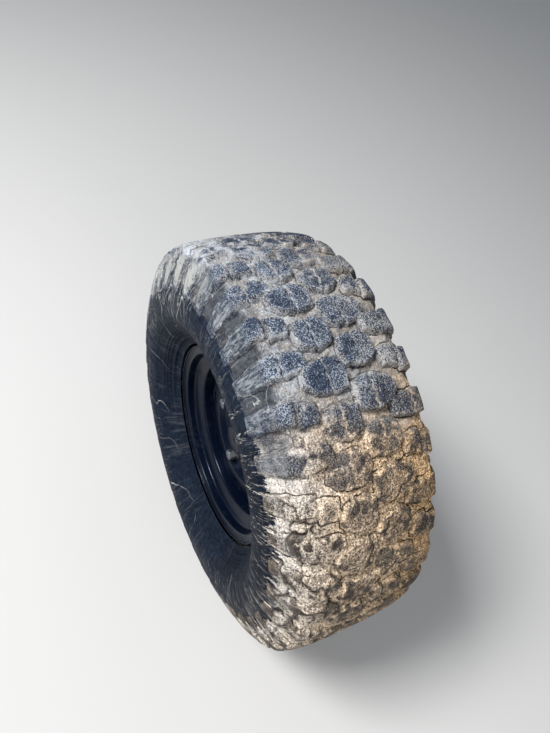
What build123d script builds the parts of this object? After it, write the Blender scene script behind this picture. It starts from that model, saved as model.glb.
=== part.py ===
from build123d import *
import os
from math import atan2, cos, hypot, radians, sin

# Front wheel end of a utility terrain vehicle: tyre and steel wheel on their hub, with
# the brake and the steering knuckle behind it.
# Millimetres, +Z up. The wheel turns about Y, its outer face looks along -Y and the
# vehicle drives toward -X. Every piece is drawn about the wheel's centre and moved at
# the end, so that the lower ball joint's bore holds the origin.

# tyre
TYRE_R = 330.0              # 26 inch tyre, to the lug tips
TREAD_HALF_W = 97.0         # crown's half width, where the shoulder turns down
SHOULDER_R = 320.0          # tip radius at that edge
SECTION_HALF_W = 126.0      # widest point of the sidewall
SECTION_R = 228.0           # radius of that widest point
LUG_DEPTH = 14.0            # tip to the floor between the lugs
LUG_ROOT = 4.0              # how far a lug is sunk in the carcass
CARCASS_T = 9.0             # rubber under the tread
SIDEWALL_T = 6.0
BEAD_CLR = 0.2              # bead over the rim's seat
BEAD_T = 16.0               # bead's height above the seat, inside
SIDES = 36                  # flats round the carcass, one under each shoulder lug
FIRST_CORNER_DEG = 2.0      # between two shoulder lugs

# rim, 12 x 6 inch
SEAT_R = 152.4
SEAT_HALF_W = 76.2          # bead seat heel to the wheel's centre plane
FLANGE_R = 166.0
FLANGE_LIP = 5.5            # how far the curl stands outside the bead
SHEET = 2.5
WELL_R = 128.5              # outside of the drop centre
WELL_OUT, WELL_IN = -54.0, -21.0
SEAT_LAND = 10.0            # width of a bead on its seat
WALL_Y = -SEAT_HALF_W + SEAT_LAND + 4.0     # where the outboard seat turns in
WALL_RUN = 17.0             # drop centre's inboard wall, along the axle

# pressed wheel disc
DISC_T = 4.0
MOUNT_Y = -26.0             # where the wheel bears on the hub's flange
BOLT_CIRCLE = 68.5          # radius, four lugs on 137
N_LUG = 4
FIRST_LUG_DEG = -5.0
STUD_R = 5.0
STUD_TIP = -44.0            # end of the stud, inside its closed nut
PILOT_R = 27.5              # hub nose
PILOT_CLR = 0.3
NOSE_Y = -46.0              # end of the hub's nose
CAP_RISE, CAP_SKIRT, CAP_T = 6.0, 11.0, 1.7
NUT_R, NUT_H = 9.8, 18.0    # 17 mm across flats
NUT_FOOT_R, NUT_FOOT_T = 10.3, 2.5
RIDGE_IN, RIDGE_OUT = 79.0, 103.0           # raised ring round the flat centre
RIDGE_H = 12.0
N_HAND_HOLE, HAND_HOLE_HALF_DEG = 8, 5.5
HOLE_Y = -37.0              # face that the slots are cut in
SKIRT_CLR = 0.3             # disc's skirt inside the well
SKIRT_END = -23.0

# valve
VALVE_DEG = 85.0
VALVE_R = 5.7               # hole in the rim
VALVE_LIP = 1.8             # how far the stem's lips stand past the hole
VALVE_END, VALVE_TIP = 20.0, 26.0           # end of the rubber, end of the brass tip
VALVE_TIP_R = 2.6
VALVE_CAP_R, VALVE_CAP_END = 4.1, 30.0

# hub and bearing
HUB_FLANGE_R = 82.0
HUB_FLANGE_T = 10.0
LOBE_CUT_R, LOBE_CUT_AT = 38.0, 104.0       # scallops between the studs
STUD_HEAD_R, STUD_HEAD_T = 8.0, 3.5
ROTOR_SEAT_Y = 7.0          # inboard face of the hub's brake flange
ROTOR_SEAT_R = 52.0
ROTOR_FLANGE_T = 6.0
ROTOR_BOLT_CIRCLE, ROTOR_BOLT_R = 43.0, 3.0
HUB_NECK_R = 36.0
BEARING_R, BEARING_BORE_R, BEARING_W = 32.0, 17.5, 37.0
BEARING_Y = 24.0            # outboard face of the bearing
AXLE_R = 13.5               # splined axle bore, to the spline's crests
BORE_CLR = 0.02

# brake
ROTOR_R, ROTOR_T = 108.0, 5.0
ROTOR_BORE_R = 31.0
N_VENT, VENT_IN, VENT_OUT = 8, 56.0, 66.0   # slots round the brake disc
BOLT_HEAD_R, BOLT_HEAD_H = 5.8, 4.0
PAD_GAP = 0.8
PAD_T = 6.0
PAD_IN_R, PAD_HALF_DEG = 74.0, 15.0
CALIPER_DEG = 180.0         # where the caliper stands round the axle
CALIPER_R = 124.0           # outside of the caliper's bridge
CLAW_T = 9.0                # outer fingers
CALIPER_IN_R, CALIPER_HALF_DEG = 71.0, 17.0
BACK_T = 22.0               # inner half, which holds the piston
PISTON_R, PISTON_AT, PISTON_END = 20.0, 92.0, 28.0
EAR_R, EAR_T = 9.5, 14.0
SLIDE_T = 9.0               # plate that joins the caliper's ears
SLIDE_BOLT_HEAD_R, SLIDE_BOLT_HEAD_H = 7.2, 5.0
CALIPER_BOLT_R_HOLE = 4.1
CALIPER_BOLT_R = 78.0       # caliper ears from the wheel's centre
CALIPER_SPREAD = 26.0       # ears either side of the caliper, degrees
EAR_Y = ROTOR_SEAT_Y + ROTOR_T + 24.0

# knuckle
HOUSING_R = 46.0
HOUSING_LIP = 3.0
JOINT_Z = 92.0              # ball joint bores above and below the wheel's centre
LOWER_Y, UPPER_Y = 92.0, 108.0
JOINT_BORE_R = 7.0
JOINT_BOSS_R = 16.0
JOINT_BOSS_H = 28.0
TIE_X, TIE_Y, TIE_Z = 96.0, 100.0, 6.0
TIE_BORE_R = 6.0
TIE_BOSS_R, TIE_BOSS_H = 12.0, 22.0

HOME = Vector(0, LOWER_Y, -JOINT_Z)     # lower ball joint in wheel coordinates


def ring(profile):
    """Solid of revolution about the axle from (radius, y) points."""
    wire = Polyline(*[(r, y, 0) for r, y in profile], close=True)
    return revolve(make_face(wire), Axis.Y, 360)


def rod(r, y0, y1, at=(0.0, 0.0)):
    """Cylinder along the axle from y0 to y1, its centre at (x, z)."""
    return Plane(origin=(at[0], y0, at[1]), x_dir=(1, 0, 0), z_dir=(0, 1, 0)) * Cylinder(
        r, y1 - y0, align=(Align.CENTER, Align.CENTER, Align.MIN))


def post(r, x, y, z0, z1):
    return Pos(x, y, z0) * Cylinder(r, z1 - z0, align=(Align.CENTER, Align.CENTER, Align.MIN))


def polar(r, deg):
    return r * cos(radians(deg)), r * sin(radians(deg))


def spread(n, first, r):
    return [polar(r, first + i * 360.0 / n) for i in range(n)]


def between(a, b, down, out):
    """Point that is shares of the way from a to b, in radius and along the axle."""
    return a[0] + down * (b[0] - a[0]), a[1] + out * (b[1] - a[1])


EDGE = (SHOULDER_R, TREAD_HALF_W)
WIDEST = (SECTION_R, SECTION_HALF_W)
BEAD_TOP = (FLANGE_R + 0.8, SEAT_HALF_W + FLANGE_LIP)


def tip_r(y):
    """Radius over the lug tips at y from the middle: nearly flat, then falling at the edge."""
    share = abs(y) / TREAD_HALF_W
    return TYRE_R - (TYRE_R - SHOULDER_R) * (0.35 * share ** 2 + 0.65 * share ** 6)


def flat_ring(half):
    """Closed ring of flats about the axle from half a section; radii are those of the flats."""
    section = [(r, -y) for r, y in half] + [(r, y) for r, y in reversed(half) if y > 0]
    grow = 1.0 / cos(radians(180.0 / SIDES))
    turns = [FIRST_CORNER_DEG + i * 360.0 / SIDES for i in range(SIDES)]
    corners = [[(x, y, z) for (x, z), y in ((polar(grow * r, d), y) for r, y in section)] for d in turns]
    faces = []
    for near, far in zip(corners, corners[1:] + corners[:1]):
        for k in range(len(section)):
            faces.append(make_face(Polyline(near[k - 1], near[k], far[k], far[k - 1], close=True)).face())
    return Solid(Shell(faces))


def tyre():
    """Hollow carcass with its beads on the rim, and the lugs fused to it."""
    t, seat, heel = SIDEWALL_T, SEAT_R + BEAD_CLR, SEAT_HALF_W - 0.4
    floor = [(TYRE_R - LUG_DEPTH, 0.62 * TREAD_HALF_W), (SHOULDER_R - LUG_DEPTH, 0.93 * TREAD_HALF_W)]
    sidewall = [between(EDGE, WIDEST, 0.66, 0.80), WIDEST, BEAD_TOP]
    bead = [(BEAD_TOP[0], heel), (seat, heel), (seat, SEAT_HALF_W - SEAT_LAND)]
    inside = [(SECTION_R, SECTION_HALF_W - t), (floor[1][0] - CARCASS_T, floor[1][1] - t),
              (floor[0][0] - CARCASS_T, floor[0][1])]
    return flat_ring(floor + sidewall + bead + inside).fuse(*lugs())


# Tread: the pattern repeats every two pitches and is the same from either side.
PITCHES = 36
PITCH = 360.0 / PITCHES
MIRROR_DEG = 19.5           # a lug at a on the outer half has its twin at this less a
SHOULDER_W = 30.0           # shoulder lug, round the tread

# Blocks on the crown: first angle, then the outline as (from the middle, round the tread).
CROWN_BLOCKS = {
    "long": (12.5, [(1, -17), (1, 17), (30, 22), (59, 8), (59, -8), (30, -22)]),
    "short": (2.5, [(1, -19), (1, 19), (49, 14), (49, -14)]),
}
# Shoulder lugs: first angle, where they begin from the middle.
SHOULDER_LUGS = {"straight": (17.0, 49.0), "set_back": (7.0, 66.0)}


def crown_block(deg, outline, side):
    """Block with a flat top that follows the crown's slope."""
    us = [u for u, v in outline]
    mid = 0.5 * (min(us) + max(us))
    fall = tip_r(min(us)) - tip_r(min(max(us), TREAD_HALF_W))
    lean = side * atan2(fall, max(us) - min(us))
    out = Vector(cos(radians(deg)), 0, sin(radians(deg)))
    axle = Vector(0, 1, 0)
    sag = 0.25 * max(v for u, v in outline) ** 2 / TYRE_R
    top = Plane(origin=out * (tip_r(mid) - sag) + axle * (mid * side),
                x_dir=axle * cos(lean) - out * sin(lean), z_dir=out * cos(lean) + axle * sin(lean))
    face = top * make_face(Polyline(*[((u - mid) * side, v * side) for u, v in outline], close=True))
    return extrude(face, amount=-(LUG_DEPTH + LUG_ROOT))


def shoulder_lug(deg, begins, side):
    """Lug that runs over the tread's edge and out along the sidewall."""
    sag = 0.125 * SHOULDER_W ** 2 / TYRE_R
    top = [(tip_r(begins) - sag, begins), (SHOULDER_R - sag, TREAD_HALF_W),
           between(EDGE, WIDEST, 0.6, 0.86)]
    root = [between(EDGE, WIDEST, 0.62, 0.60), (SHOULDER_R - LUG_DEPTH - LUG_ROOT, 0.85 * TREAD_HALF_W),
            (tip_r(begins) - LUG_DEPTH - LUG_ROOT, begins)]
    c, s = cos(radians(deg)), sin(radians(deg))
    plane = Plane(origin=(0, 0, 0), x_dir=(c, 0, s), z_dir=(s, 0, -c))
    section = [(r, y * side * plane.y_dir.Y) for r, y in top + root]
    return extrude(plane * make_face(Polyline(*section, close=True)), amount=SHOULDER_W / 2, both=True)


def lugs():
    """All blocks and lugs of both halves, each kind once in every two pitches."""
    out = []
    for side in (-1, 1):
        for i in range(PITCHES // 2):
            for kinds, make in ((CROWN_BLOCKS, crown_block), (SHOULDER_LUGS, shoulder_lug)):
                for first, form in kinds.values():
                    own = first if side < 0 else MIRROR_DEG - first
                    out.append(make(own + 2 * PITCH * i, form, side))
    return out


def rim_barrel():
    """Rolled steel rim: a curled flange each side, bead seats and an offset drop centre."""
    w, t, lip = SEAT_HALF_W, SHEET, SEAT_HALF_W + FLANGE_LIP
    outer = [(FLANGE_R - t, -lip), (FLANGE_R, -lip), (FLANGE_R, -w), (SEAT_R, -w), (SEAT_R, WALL_Y),
             (WELL_R, WELL_OUT), (WELL_R, WELL_IN), (SEAT_R, WELL_IN + WALL_RUN),
             (SEAT_R, w), (FLANGE_R, w), (FLANGE_R, lip), (FLANGE_R - t, lip)]
    inner = [(FLANGE_R - t, w + t), (SEAT_R - t, w + t), (SEAT_R - t, WELL_IN + WALL_RUN + t / 3),
             (WELL_R - t, WELL_IN + t / 2), (WELL_R - t, WELL_OUT - t / 2), (SEAT_R - t, WALL_Y - t / 3),
             (SEAT_R - t, -w - t), (FLANGE_R - t, -w - t)]
    return ring(outer + inner) - valve_hole()


def valve_axis():
    """Plane in the rim's sloping outboard wall, z out of it toward the open side."""
    r0, y0 = SEAT_R, WALL_Y
    wall = hypot(WELL_R - r0, WELL_OUT - y0)
    nr, ny = -(WELL_OUT - y0) / wall, (WELL_R - r0) / wall
    r = 0.5 * (r0 + WELL_R) + nr * SHEET / 2
    y = 0.5 * (y0 + WELL_OUT) + ny * SHEET / 2
    c, s = cos(radians(VALVE_DEG)), sin(radians(VALVE_DEG))
    return Plane(origin=(r * c, y, r * s), x_dir=(s, 0, -c), z_dir=(nr * c, ny, nr * s))


def along(plane, r, z0, z1):
    return plane * Pos(0, 0, z0) * Cylinder(r, z1 - z0, align=(Align.CENTER, Align.CENTER, Align.MIN))


def valve_hole():
    return along(valve_axis(), VALVE_R, -8, 8)


def valve_stem():
    """Rubber snap-in stem, held by a lip each side of the sheet."""
    p, sheet, deep = valve_axis(), SHEET / 2 + 0.35, 5.0
    stem = along(p, VALVE_R - 0.1, -SHEET, VALVE_END) + along(p, VALVE_TIP_R, VALVE_END, VALVE_TIP)
    return stem + along(p, VALVE_R + VALVE_LIP, -deep, -sheet) + along(p, VALVE_R + 0.7 * VALVE_LIP, sheet, deep)


def valve_cap():
    p = valve_axis()
    cap = along(p, VALVE_CAP_R, VALVE_END + 0.4, VALVE_CAP_END)
    return cap - along(p, VALVE_TIP_R + 0.1, VALVE_END, VALVE_TIP + 0.2)


def wheel_disc():
    """Pressed centre: flat on the hub, a raised ring, then a skirt welded in the well."""
    t, flat = DISC_T, MOUNT_Y - DISC_T
    skirt = WELL_R - SHEET - SKIRT_CLR
    ridge = flat - RIDGE_H
    face = [(PILOT_R + PILOT_CLR, flat), (RIDGE_IN, flat), (RIDGE_IN + 8, ridge), (RIDGE_OUT, ridge),
            (RIDGE_OUT + 5, HOLE_Y), (skirt, HOLE_Y), (skirt, SKIRT_END)]
    back = [(skirt - t, SKIRT_END), (skirt - t, HOLE_Y + t), (RIDGE_OUT + 3, HOLE_Y + t),
            (RIDGE_OUT - 2, ridge + t), (RIDGE_IN + 10, ridge + t), (RIDGE_IN + 2, MOUNT_Y),
            (PILOT_R + PILOT_CLR, MOUNT_Y)]
    body = ring(face + back)
    for x, z in spread(N_LUG, FIRST_LUG_DEG, BOLT_CIRCLE):
        body -= rod(STUD_R + 1.5, -60, 0, (x, z))
    for k in range(N_HAND_HOLE):
        at = FIRST_LUG_DEG + (k + 0.5) * 360.0 / N_HAND_HOLE
        body -= sector(RIDGE_OUT + 6, skirt - t - 1, -60, -20, at, HAND_HOLE_HALF_DEG, 1)
    return body


def hub():
    """Turned hub: nose, stud flange with four lobes, brake flange, and the bearing journal."""
    y0, y1 = MOUNT_Y, MOUNT_Y + HUB_FLANGE_T
    y2 = ROTOR_SEAT_Y - ROTOR_FLANGE_T
    journal, end = BEARING_BORE_R - BORE_CLR, BEARING_Y + BEARING_W + 3
    body = ring([(AXLE_R, NOSE_Y), (PILOT_R, NOSE_Y), (PILOT_R, y0), (HUB_FLANGE_R, y0), (HUB_FLANGE_R, y1),
                 (HUB_NECK_R, y1), (HUB_NECK_R, y2), (ROTOR_SEAT_R, y2), (ROTOR_SEAT_R, ROTOR_SEAT_Y),
                 (ROTOR_BORE_R - 0.1, ROTOR_SEAT_Y), (ROTOR_BORE_R - 0.1, ROTOR_SEAT_Y + ROTOR_T),
                 (journal + 5, ROTOR_SEAT_Y + ROTOR_T), (journal + 5, BEARING_Y),
                 (journal, BEARING_Y), (journal, end), (AXLE_R, end)])
    for x, z in spread(N_LUG, FIRST_LUG_DEG, BOLT_CIRCLE):
        body -= rod(STUD_R + 0.05, -60, 0, (x, z))
    for x, z in spread(N_LUG, FIRST_LUG_DEG + 180.0 / N_LUG, LOBE_CUT_AT):
        body -= rod(LOBE_CUT_R, y0 - 4, y1 + 6, (x, z))
    for x, z in spread(N_LUG, 0, ROTOR_BOLT_CIRCLE):
        body -= rod(ROTOR_BOLT_R + 0.1, -10, 20, (x, z))
    return body


def wheel_studs():
    back = MOUNT_Y + HUB_FLANGE_T
    return [rod(STUD_R, STUD_TIP, back, p) + rod(STUD_HEAD_R, back, back + STUD_HEAD_T, p)
            for p in spread(N_LUG, FIRST_LUG_DEG, BOLT_CIRCLE)]


def lug_nuts():
    """Closed nuts, each with the round foot that centres it on the disc."""
    out = []
    seat = MOUNT_Y - DISC_T
    for x, z in spread(N_LUG, FIRST_LUG_DEG, BOLT_CIRCLE):
        base = Plane(origin=(x, seat, z), x_dir=(1, 0, 0), z_dir=(0, -1, 0))
        nut = base * extrude(RegularPolygon(NUT_R, 6), NUT_H)
        nut += rod(NUT_FOOT_R, seat - NUT_FOOT_T, seat, (x, z))
        out.append(nut - rod(STUD_R + 0.05, STUD_TIP - 1, seat + 1, (x, z)))
    return out


def centre_cap():
    """Dust cap pushed over the hub's nose, its middle raised."""
    r, y, out = PILOT_R + 0.1, NOSE_Y, PILOT_R + 0.1 + CAP_T
    step = y - CAP_RISE / 3
    return ring([(0, y - CAP_RISE), (r - 4, y - CAP_RISE), (r - 4, step), (out, step),
                 (out, y + CAP_SKIRT), (r, y + CAP_SKIRT), (r, y), (0, y)])


def brake_disc():
    y = ROTOR_SEAT_Y
    body = ring([(ROTOR_BORE_R, y), (ROTOR_R, y), (ROTOR_R, y + ROTOR_T), (ROTOR_BORE_R, y + ROTOR_T)])
    for x, z in spread(N_LUG, 0, ROTOR_BOLT_CIRCLE):
        body -= rod(ROTOR_BOLT_R + 0.1, 0, 20, (x, z))
    for k in range(N_VENT):
        body -= sector(VENT_IN, VENT_OUT, 0, 20, (k + 0.5) * 360.0 / N_VENT, 13, 2)
    return body


def hex_head(r, h, y, at):
    """Hexagonal head standing inboard of y."""
    plane = Plane(origin=(at[0], y, at[1]), x_dir=(1, 0, 0), z_dir=(0, 1, 0))
    return plane * extrude(RegularPolygon(r, 6), h)


def disc_bolts():
    y = ROTOR_SEAT_Y + ROTOR_T
    return [hex_head(BOLT_HEAD_R, BOLT_HEAD_H, y, p) + rod(ROTOR_BOLT_R, ROTOR_SEAT_Y - ROTOR_FLANGE_T, y, p)
            for p in spread(N_LUG, 0, ROTOR_BOLT_CIRCLE)]


def wheel_bearing():
    y0, y1 = BEARING_Y, BEARING_Y + BEARING_W
    r0, r1 = BEARING_BORE_R, BEARING_R - 0.02
    return ring([(r0, y0), (r1, y0), (r1, y1), (r0, y1)])


def bar(a, b, size_a, size_b):
    """Tapered arm of rectangular section between two points; sizes are (level, upright)."""
    a, b = Vector(*a), Vector(*b)
    level = (b - a).cross(Vector(0, 0, 1)) if abs((b - a).normalized().Z) < 0.8 else Vector(1, 0, 0)
    near, far = (Plane(origin=p, x_dir=level, z_dir=b - a) for p in (a, b))
    return loft([near * Rectangle(*size_a), far * Rectangle(*size_b)])


def ears():
    return [polar(CALIPER_BOLT_R, CALIPER_DEG + k * CALIPER_SPREAD) for k in (-1, 1)]


def knuckle():
    """Cast knuckle: bearing housing, arms to both ball joints, tie rod arm and caliper ears."""
    y0, y1 = BEARING_Y - 1.0, BEARING_Y + BEARING_W + HOUSING_LIP
    body = rod(HOUSING_R, y0, y1)
    half, deep = JOINT_BOSS_H / 2, y1 - 14
    for y, up in ((LOWER_Y, -1), (UPPER_Y, 1)):
        z = up * JOINT_Z
        body += post(JOINT_BOSS_R, 0, y, z - half, z + half)
        body += bar((0, deep, up * 28), (0, y - 6, z - up * 2), (52, 24), (22, 20))
    body += bar((28, deep, 3), (TIE_X - 2, TIE_Y, TIE_Z), (26, 22), (14, 14))
    body += post(TIE_BOSS_R, TIE_X, TIE_Y, TIE_Z - TIE_BOSS_H / 2, TIE_Z + TIE_BOSS_H / 2)
    for x, z in ears():
        body += bar((x * 0.4, EAR_Y + 8, z * 0.4), (x, EAR_Y + 7, z), (16, 14), (13, 12))
        body += rod(EAR_R, EAR_Y, EAR_Y + EAR_T, (x, z))
    body -= rod(BEARING_R, BEARING_Y - 5, BEARING_Y + BEARING_W)
    body -= rod(BEARING_R - 4, BEARING_Y, y1 + 60)
    body -= post(JOINT_BORE_R, 0, LOWER_Y, -JOINT_Z - 40, -JOINT_Z + half + 1)
    body -= post(JOINT_BORE_R, 0, UPPER_Y, JOINT_Z - half - 1, JOINT_Z + 40)
    body -= post(TIE_BORE_R, TIE_X, TIE_Y, TIE_Z - 40, TIE_Z + 40)
    for x, z in ears():
        body -= rod(CALIPER_BOLT_R_HOLE, EAR_Y - 1, EAR_Y + 40, (x, z))
    return body


def sector(r0, r1, y0, y1, mid, half, n=6):
    """Block of an annulus about the axle, its arcs in n flats."""
    outer = [polar(r1, mid - half + 2 * half * i / n) for i in range(n + 1)]
    inner = [polar(r0, mid - half + 2 * half * i / n) for i in range(n + 1)]
    wire = Polyline(*[(x, y0, z) for x, z in outer + inner[::-1]], close=True)
    return extrude(make_face(wire), amount=y1 - y0, dir=(0, 1, 0))


def caliper_body():
    """Sliding caliper: a bridge over the disc's edge, an outer claw and an inner cylinder."""
    mid, half, near, far = CALIPER_DEG, CALIPER_HALF_DEG, CALIPER_IN_R, CALIPER_R
    claw = ROTOR_SEAT_Y - PAD_GAP - PAD_T
    back = ROTOR_SEAT_Y + ROTOR_T + PAD_GAP + PAD_T
    body = sector(near, far, claw - CLAW_T, claw, mid, half)
    body += sector(ROTOR_R + 4, far, claw - CLAW_T, back + BACK_T - 2, mid, half)
    body += sector(near, far, back, back + BACK_T, mid, half)
    body += rod(PISTON_R, back + BACK_T / 2, back + PISTON_END, polar(PISTON_AT, mid))
    body += sector(near, CALIPER_BOLT_R + 12, EAR_Y - SLIDE_T, EAR_Y, mid, CALIPER_SPREAD)
    for p in ears():
        body += rod(EAR_R, EAR_Y - SLIDE_T, EAR_Y, p)
    for p in ears():
        body -= rod(CALIPER_BOLT_R_HOLE, EAR_Y - SLIDE_T - 1, EAR_Y + 1, p)
    return body


def brake_pads():
    mid, y, t, g = CALIPER_DEG, ROTOR_SEAT_Y, ROTOR_T, PAD_GAP
    return [sector(PAD_IN_R, ROTOR_R - 2, y - g - PAD_T, y - g, mid, PAD_HALF_DEG),
            sector(PAD_IN_R, ROTOR_R - 2, y + t + g, y + t + g + PAD_T, mid, PAD_HALF_DEG)]


def caliper_bolts():
    y = EAR_Y + EAR_T
    return [hex_head(SLIDE_BOLT_HEAD_R, SLIDE_BOLT_HEAD_H, y, p)
            + rod(CALIPER_BOLT_R_HOLE - 0.1, EAR_Y - SLIDE_T, y, p) for p in ears()]


PARTS = {
    "tyre": tyre,
    "rim_barrel": rim_barrel,
    "wheel_disc": wheel_disc,
    "valve_stem": valve_stem,
    "valve_cap": valve_cap,
    "hub": hub,
    "wheel_studs": wheel_studs,
    "lug_nuts": lug_nuts,
    "centre_cap": centre_cap,
    "brake_disc": brake_disc,
    "disc_bolts": disc_bolts,
    "wheel_bearing": wheel_bearing,
    "knuckle": knuckle,
    "caliper_body": caliper_body,
    "brake_pads": brake_pads,
    "caliper_bolts": caliper_bolts,
}

os.makedirs("parts", exist_ok=True)
for name, make in PARTS.items():
    made = make()
    solids = made if isinstance(made, list) else [made]
    moved = [Pos(-HOME) * s for s in solids]
    whole = Compound([s.solid() for s in moved]) if len(moved) > 1 else moved[0]
    export_step(whole, f"parts/{name}.step")
    print(name, len(whole.solids()), round(sum(s.volume for s in whole.solids()) / 1000.0, 1))
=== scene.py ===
# %% [markdown]
# # A front wheel end with a muddy tyre
# A knobbly tyre on a black steel wheel, muddy from a day's work. The CAD model gives the true
# sizes and the turning joint. This file dresses it: worn rubber, caked mud, dusty paint.
# Everything is in metres and in the CAD's own frame, so nothing needs fitting.

# %% Load the CAD frame
import bpy
import math
import numpy as np
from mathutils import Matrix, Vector


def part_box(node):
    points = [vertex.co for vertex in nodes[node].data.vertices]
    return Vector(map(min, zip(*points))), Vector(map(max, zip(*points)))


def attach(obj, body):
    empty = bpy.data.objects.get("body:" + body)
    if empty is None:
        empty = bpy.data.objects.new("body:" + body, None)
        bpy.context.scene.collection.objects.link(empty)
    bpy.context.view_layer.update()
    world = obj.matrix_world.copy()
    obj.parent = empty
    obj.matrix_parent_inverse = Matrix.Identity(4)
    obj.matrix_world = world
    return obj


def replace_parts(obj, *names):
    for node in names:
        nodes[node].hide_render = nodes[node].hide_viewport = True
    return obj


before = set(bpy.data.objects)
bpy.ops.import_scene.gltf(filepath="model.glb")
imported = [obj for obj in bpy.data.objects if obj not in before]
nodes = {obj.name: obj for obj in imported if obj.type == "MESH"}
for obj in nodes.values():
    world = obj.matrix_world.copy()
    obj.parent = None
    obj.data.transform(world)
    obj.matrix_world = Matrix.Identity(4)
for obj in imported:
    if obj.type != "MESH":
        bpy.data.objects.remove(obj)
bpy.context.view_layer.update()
print("nodes:", sorted(nodes))

# %% [markdown]
# ## Where the wheel is
# The CAD puts its origin in the lower ball joint, because that is what holds a wheel end up.
# The tyre and rim are easier to think about from the wheel's own centre, so it is kept here.

# %% The wheel's centre and its main radii
lo, hi = (Vector(c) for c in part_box("tyre"))
hub_centre = (lo + hi) / 2
tyre_r = (hi.x - lo.x + hi.z - lo.z) / 4
centre_point = np.array(hub_centre)
print("wheel centre", tuple(round(v, 4) for v in hub_centre), "tyre radius", round(tyre_r, 4))

# %% [markdown]
# ## Camera
# The picture was taken standing beside the wheel and a little behind it, looking forward and
# down onto the tread. The lens and the pose come from fitting the circles of the rim flange and
# the tyre's outline, so they are written as plain numbers.

# %% Camera
def placed(name, data):
    """A new object in the scene, made of this data."""
    out = bpy.data.objects.new(name, data)
    bpy.context.collection.objects.link(out)
    return out


view = bpy.data.cameras.new("view")
camera = placed("view", view)
bpy.context.scene.camera = camera
view.sensor_width = 36.0
view.lens = 27.527
camera.location = (0.3789, -0.4418, 0.9046)
camera.rotation_euler = [math.radians(a) for a in (37.254, -12.858, 65.503)]
print("camera at", tuple(round(v, 3) for v in camera.location))

# %% [markdown]
# ## Writing shader maths in Python
# A material is a graph of nodes. Wiring one by hand hides what it says, so a small class wraps a
# socket and lets it be added and multiplied. A second class makes any other node.

# %% Sockets that behave like numbers
def maths(operation, turned=False):
    """A method that adds one Math node; turned puts the other value first."""
    def method(self, other=0.0):
        first, second = (other, self) if turned else (self, other)
        return self.finish.node("ShaderNodeMath", {"operation": operation}, {0: first, 1: second})
    return method


class Sock:
    """One output of a node in a finish."""

    __add__, __sub__, __mul__ = maths("ADD"), maths("SUBTRACT"), maths("MULTIPLY")
    __radd__, __rsub__, __rmul__ = maths("ADD", True), maths("SUBTRACT", True), maths("MULTIPLY", True)
    __truediv__, power, most = maths("DIVIDE"), maths("POWER"), maths("MAXIMUM")
    size, fraction = maths("ABSOLUTE"), maths("FRACT")

    def __init__(self, finish, out):
        self.finish, self.out = finish, out

    def ramp(self, low, high):
        """0 below low, 1 above high, smooth between; low may be the larger, to turn it round."""
        flip = low > high
        a, b = (high, low) if flip else (low, high)
        out = self.finish.node("ShaderNodeMapRange", {"interpolation_type": "SMOOTHSTEP", "clamp": True},
                               {"Value": self, "From Min": a, "From Max": b})
        return 1.0 - out if flip else out


print("a socket can be added, multiplied and", [way for way in vars(Sock) if way[0] != "_"])

# %% [markdown]
# ## A finish
# Every finish starts from the same surface shader and reads its place on the object, so a noise
# keeps its size on any piece. Colours go through Mix nodes, since maths nodes would grey them.

# %% Finishes made of nodes
class Finish:
    """A material with its nodes, written as expressions."""

    def __init__(self, name, metallic=0.0, ior=1.5):
        self.material = bpy.data.materials.new(name)
        self.material.use_nodes = True
        self.tree = self.material.node_tree
        self.surface = self.tree.nodes["Principled BSDF"]
        self.surface.inputs["Metallic"].default_value = metallic
        self.surface.inputs["IOR"].default_value = ior
        self.place = self.node("ShaderNodeTexCoord", out="Object")

    def node(self, kind, settings=None, inputs=None, out=0):
        """Adds a node, sets it up, and gives back one of its outputs."""
        n = self.tree.nodes.new(kind)
        for key, value in (settings or {}).items():
            setattr(n, key, value)
        for key, value in (inputs or {}).items():
            self.put(n.inputs[key], value)
        return Sock(self, n.outputs[out])

    def put(self, socket, value):
        """Wires an output to a socket, or writes a plain value in it."""
        if isinstance(value, Sock):
            self.tree.links.new(value.out, socket)
        elif socket.type == "RGBA" and len(value) == 3:
            socket.default_value = (*value, 1.0)
        else:
            socket.default_value = value

    def set(self, **sockets):
        for name, value in sockets.items():
            self.put(self.surface.inputs[name.replace("_", " ")], value)

    def noise(self, scale, detail=4.0, rough=0.55, at=None, distort=0.0):
        return self.node("ShaderNodeTexNoise", None, {
            "Vector": at or self.place, "Scale": scale, "Detail": detail,
            "Roughness": rough, "Distortion": distort})

    def attribute(self, name):
        return self.node("ShaderNodeAttribute", {"attribute_name": name}, out="Fac")

    def mix(self, amount, a, b):
        return self.node("ShaderNodeMix", {"data_type": "RGBA"}, {0: amount, 6: a, 7: b}, out=2)

    def coats(self, colour, *layers):
        """Colours laid over one another, each by its own amount."""
        for amount, over in layers:
            colour = self.mix(amount, colour, over)
        return colour

    def round_axle(self, *pulls):
        """Distance from the axle, place along it, and coordinates drawn out toward the axle."""
        p = self.node("ShaderNodeVectorMath", {"operation": "SUBTRACT"},
                      {0: self.place, 1: tuple(hub_centre)})
        x, y, z = (self.node("ShaderNodeSeparateXYZ", None, {0: p}, out=k) for k in range(3))
        r = (x * x + z * z).power(0.5)
        drawn = [self.node("ShaderNodeCombineXYZ", None, {0: x / r, 1: r * pull, 2: z / r})
                 for pull in pulls]
        return r, y, *drawn

    def bump(self, height, depth):
        return self.node("ShaderNodeBump", None, {"Height": height, "Distance": depth, "Strength": 1.0})


print("a finish can", [way for way in vars(Finish) if way[0] != "_"])

# %% [markdown]
# ## The tyre's section
# A tyre is one curve spun round the axle. The curve below runs over the lug tips from the middle
# of the crown down the sidewall to the bead. It is resampled by its own length, so "across" is
# a tape measure laid over the tread, and softened, so the shoulder is round. A screw modifier
# could spin it too, but with plain arrays the lugs can be laid on it before any mesh is made.

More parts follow.
